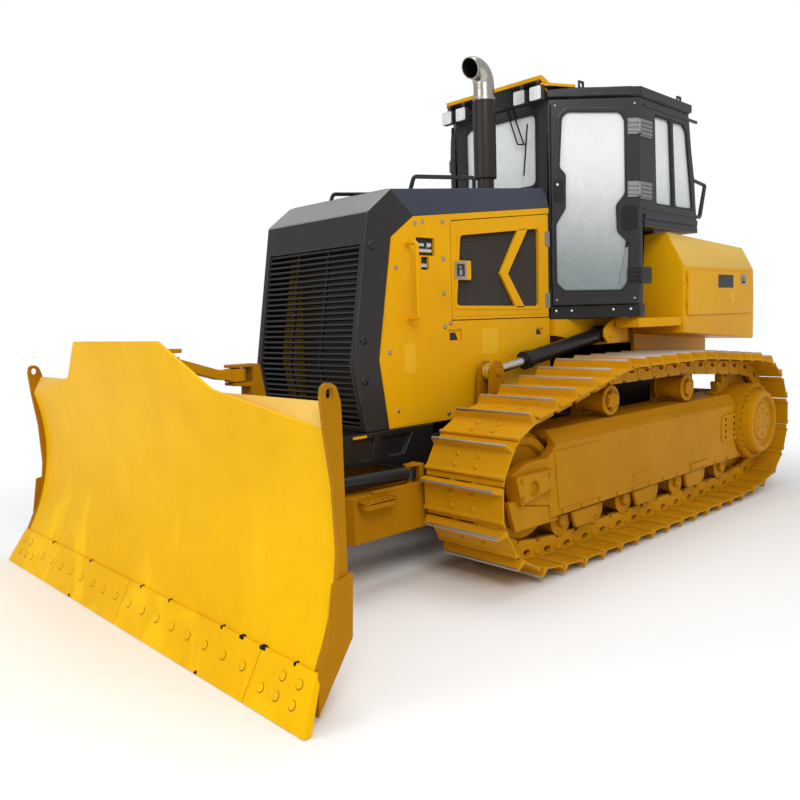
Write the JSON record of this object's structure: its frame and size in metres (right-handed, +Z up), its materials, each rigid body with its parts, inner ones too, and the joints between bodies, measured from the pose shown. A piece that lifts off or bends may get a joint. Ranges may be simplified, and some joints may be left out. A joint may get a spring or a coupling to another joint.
{
  "type": "bulldozer",
  "caption": "Crawler bulldozer with an angling and tilting straight blade on a C-frame, narrow front cab, sloped hood and closed rear tank.",
  "frame": {"origin": "on the ground, mid length, on the machine's centre plane", "axes": "+X forward to the blade, +Y to the machine's left, +Z up"},
  "size_m": [5.612, 3.33, 3.323],
  "materials": {
    "yellow": "satin",
    "charcoal": "satin",
    "black": "gloss",
    "dark_steel": "rough",
    "track_steel": "rough",
    "worn_steel": "satin",
    "chrome": "polished",
    "mesh": "matte",
    "glass": "gloss",
    "lamp": "gloss",
    "seat": "rough",
    "plastic": "matte"
  },
  "bodies": {
    "chassis": {"track_left": "track_steel", "track_right": "track_steel", "track_frame_left": "yellow", "track_frame_right": "yellow", "track_rollers_left": "dark_steel", "track_rollers_right": "dark_steel", "carrier_rollers_left": "dark_steel", "carrier_rollers_right": "dark_steel", "idler_left": "dark_steel", "idler_right": "dark_steel", "final_drive_left": "yellow", "final_drive_right": "yellow", "main_frame": "charcoal", "engine_block": "dark_steel", "nose_guard": "charcoal", "radiator_mask": "charcoal", "radiator_grille": "charcoal", "hood": "charcoal", "side_panel_left": "yellow", "side_panel_right": "yellow", "exhaust_stack": "dark_steel", "hood_rails": "charcoal", "cab_sill": "charcoal", "cab_base": "yellow", "cab_frame": "charcoal", "cab_roof": "charcoal", "visor": "yellow", "work_lamps": "lamp", "cab_glass": "glass", "operator_seat": "seat", "console": "plastic", "rear_tank": "yellow", "drawbar": "dark_steel"},
    "c_frame": {"c_frame": "yellow"},
    "angle_yoke": {"angle_yoke": "yellow"},
    "upper_link": {"upper_link": "yellow"},
    "blade": {"blade": "yellow", "cutting_edges": "worn_steel"},
    "tilt_barrel": {"tilt_barrel": "black"},
    "tilt_rod": {"tilt_rod": "chrome"},
    "lift_barrel_left": {"lift_barrel_left": "black"},
    "lift_rod_left": {"lift_rod_left": "chrome"},
    "angle_barrel_left": {"angle_barrel_left": "black"},
    "angle_rod_left": {"angle_rod_left": "chrome"},
    "cab_door_left": {"cab_door_left": "charcoal", "door_glass_left": "glass"},
    "engine_door_left": {"engine_door_left": "yellow", "engine_mesh_left": "mesh"},
    "service_door_left": {"service_door_left": "yellow"},
    "lift_barrel_right": {"lift_barrel_right": "black"},
    "lift_rod_right": {"lift_rod_right": "chrome"},
    "angle_barrel_right": {"angle_barrel_right": "black"},
    "angle_rod_right": {"angle_rod_right": "chrome"},
    "cab_door_right": {"cab_door_right": "charcoal", "door_glass_right": "glass"},
    "engine_door_right": {"engine_door_right": "yellow", "engine_mesh_right": "mesh"},
    "service_door_right": {"service_door_right": "yellow"}
  },
  "joints": [
    {"name": "blade_lift", "type": "hinge", "parent": "chassis", "child": "c_frame", "pos_m": [-0.805, 0, 0.46], "axis": [0, -1, 0], "range_deg": [-8, 16]},
    {"name": "blade_angle", "type": "hinge", "parent": "c_frame", "child": "angle_yoke", "pos_m": [1.995, 0, 0.46], "axis": [0, 0, 1], "range_deg": [-25, 25]},
    {"name": "blade_tilt", "type": "hinge", "parent": "angle_yoke", "child": "blade", "pos_m": [2.41, 0, 0.45], "axis": [1, 0, 0], "range_deg": [-6, 6]},
    {"name": "upper_link_swing", "type": "hinge", "parent": "angle_yoke", "child": "upper_link", "pos_m": [1.995, 0, 1.245], "axis": [0, 0, 1], "range_deg": [-13.22, 13.22]},
    {"name": "lift_cylinder_swing_left", "type": "hinge", "parent": "chassis", "child": "lift_barrel_left", "pos_m": [-0.885, 0.605, 1.38], "axis": [0, -1, 0], "range_deg": [-6.97, 13.92]},
    {"name": "lift_cylinder_stroke_left", "type": "slide", "parent": "lift_barrel_left", "child": "lift_rod_left", "axis": [0.9878, 0, -0.1557], "range_m": [-0.2531, 0.1267]},
    {"name": "angle_cylinder_swing_left", "type": "hinge", "parent": "c_frame", "child": "angle_barrel_left", "pos_m": [1.275, 0.67, 0.64], "axis": [0, 0, 1], "range_deg": [-5.75, 5.75]},
    {"name": "angle_cylinder_stroke_left", "type": "slide", "parent": "angle_barrel_left", "child": "angle_rod_left", "axis": [0.9932, -0.1168, 0], "range_m": [-0.2536, 0.2536]},
    {"name": "lift_cylinder_swing_right", "type": "hinge", "parent": "chassis", "child": "lift_barrel_right", "pos_m": [-0.885, -0.605, 1.38], "axis": [0, -1, 0], "range_deg": [-6.97, 13.92]},
    {"name": "lift_cylinder_stroke_right", "type": "slide", "parent": "lift_barrel_right", "child": "lift_rod_right", "axis": [0.9878, 0, -0.1557], "range_m": [-0.2531, 0.1267]},
    {"name": "angle_cylinder_swing_right", "type": "hinge", "parent": "c_frame", "child": "angle_barrel_right", "pos_m": [1.275, -0.67, 0.64], "axis": [0, 0, 1], "range_deg": [-5.75, 5.75]},
    {"name": "angle_cylinder_stroke_right", "type": "slide", "parent": "angle_barrel_right", "child": "angle_rod_right", "axis": [0.9932, 0.1168, 0], "range_m": [-0.2536, 0.2536]},
    {"name": "tilt_cylinder_swing", "type": "hinge", "parent": "angle_yoke", "child": "tilt_barrel", "pos_m": [2.32, 0.14, 0.9], "axis": [1, 0, 0], "range_deg": [-5.32, 5.32]},
    {"name": "tilt_cylinder_stroke", "type": "slide", "parent": "tilt_barrel", "child": "tilt_rod", "axis": [0, -0.9935, 0.1141], "range_m": [-0.0487, 0.0487]},
    {"name": "cab_door_left_hinge", "type": "hinge", "parent": "chassis", "child": "cab_door_left", "pos_m": [-0.88751, 0.92742, 2.3], "axis": [0, 0, 1], "range_deg": [0, 85]},
    {"name": "engine_door_left_hinge", "type": "hinge", "parent": "chassis", "child": "engine_door_left", "pos_m": [-0.357, 0.504, 1.8], "axis": [0, 0, 1], "range_deg": [0, 90]},
    {"name": "service_door_left_hinge", "type": "hinge", "parent": "chassis", "child": "service_door_left", "pos_m": [-1.467, 1.018, 1.68], "axis": [0, 0, -1], "range_deg": [0, 110]},
    {"name": "cab_door_right_hinge", "type": "hinge", "parent": "chassis", "child": "cab_door_right", "pos_m": [-0.88751, -0.92742, 2.3], "axis": [0, 0, -1], "range_deg": [0, 85]},
    {"name": "engine_door_right_hinge", "type": "hinge", "parent": "chassis", "child": "engine_door_right", "pos_m": [-0.357, -0.504, 1.8], "axis": [0, 0, -1], "range_deg": [0, 90]},
    {"name": "service_door_right_hinge", "type": "hinge", "parent": "chassis", "child": "service_door_right", "pos_m": [-1.467, -1.018, 1.68], "axis": [0, 0, 1], "range_deg": [0, 110]}
  ],
  "couplings": [
    {"joint": "upper_link_swing", "follows": "blade_tilt", "ratio": -2.2},
    {"joint": "lift_cylinder_swing_left", "follows": "blade_lift", "ratio": 0.8687},
    {"joint": "lift_cylinder_stroke_left", "follows": "blade_lift", "m_per_rad": -0.9056},
    {"joint": "angle_cylinder_swing_left", "follows": "blade_angle", "ratio": 0.229},
    {"joint": "angle_cylinder_stroke_left", "follows": "blade_angle", "m_per_rad": -0.5807},
    {"joint": "lift_cylinder_swing_right", "follows": "blade_lift", "ratio": 0.8687},
    {"joint": "lift_cylinder_stroke_right", "follows": "blade_lift", "m_per_rad": -0.9056},
    {"joint": "angle_cylinder_swing_right", "follows": "blade_angle", "ratio": 0.229},
    {"joint": "angle_cylinder_stroke_right", "follows": "blade_angle", "m_per_rad": 0.5807},
    {"joint": "tilt_cylinder_swing", "follows": "blade_tilt", "ratio": 0.8823},
    {"joint": "tilt_cylinder_stroke", "follows": "blade_tilt", "m_per_rad": 0.4626}
  ]
}
